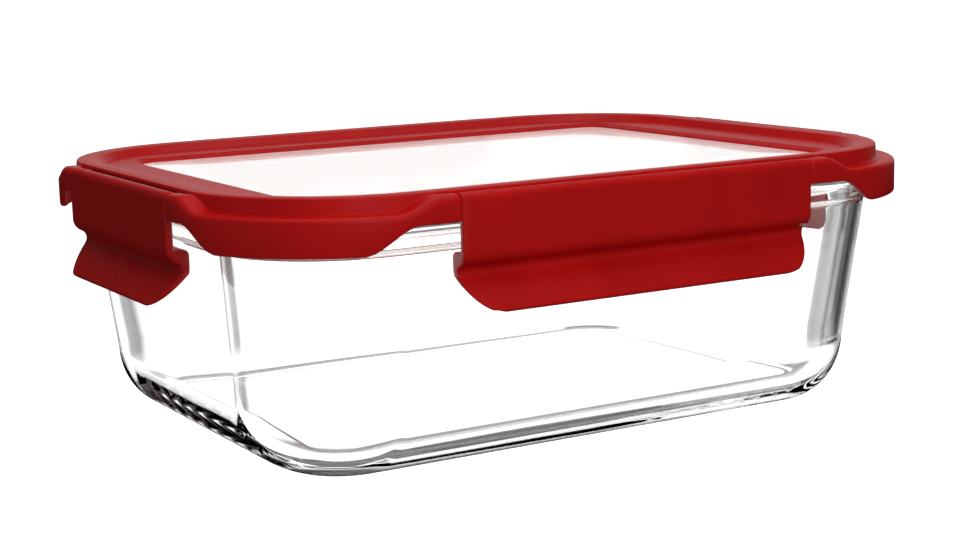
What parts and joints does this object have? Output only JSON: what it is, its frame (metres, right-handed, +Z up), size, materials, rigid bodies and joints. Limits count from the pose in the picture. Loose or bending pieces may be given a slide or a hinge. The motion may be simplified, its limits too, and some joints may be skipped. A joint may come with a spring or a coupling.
{
  "type": "bento lunch box",
  "caption": "Rectangular glass food box with rounded corners and a framed lid that has a clear window, a soft seal and hinged snap latches on its sides.",
  "frame": {"origin": "centre of the base, on the table", "axes": "+X along the long side, +Y towards the back, +Z up"},
  "size_m": [0.2166, 0.1726, 0.0713],
  "materials": {
    "clear_glass": "clear, polished",
    "satin_red": "satin",
    "clear_plastic": "clear, slightly hazy",
    "silicone": "matt, translucent",
    "steel": "drawn wire"
  },
  "bodies": {
    "container": {"glass_body": "clear_glass"},
    "lid": {"lid_frame": "satin_red", "window_panel": "clear_plastic", "lid_seal": "silicone", "hinge_pin_front": "steel", "hinge_pin_right": "steel", "hinge_pin_back": "steel", "hinge_pin_left": "steel"},
    "front_latch": {"latch_front": "satin_red"},
    "right_latch": {"latch_right": "satin_red"},
    "back_latch": {"latch_back": "satin_red"},
    "left_latch": {"latch_left": "satin_red"}
  },
  "joints": [
    {"name": "lid_lift", "type": "slide", "parent": "container", "child": "lid", "axis": [0, 0, 1], "range_m": [0, 0.06]},
    {"name": "front_latch_hinge", "type": "hinge", "parent": "lid", "child": "front_latch", "pos_m": [0, -0.0812, 0.069], "axis": [-1, 0, 0], "range_deg": [0, 110]},
    {"name": "right_latch_hinge", "type": "hinge", "parent": "lid", "child": "right_latch", "pos_m": [0.1032, 0, 0.069], "axis": [0, -1, 0], "range_deg": [0, 110]},
    {"name": "back_latch_hinge", "type": "hinge", "parent": "lid", "child": "back_latch", "pos_m": [0, 0.0812, 0.069], "axis": [1, 0, 0], "range_deg": [0, 110]},
    {"name": "left_latch_hinge", "type": "hinge", "parent": "lid", "child": "left_latch", "pos_m": [-0.1032, 0, 0.069], "axis": [0, 1, 0], "range_deg": [0, 110]}
  ]
}
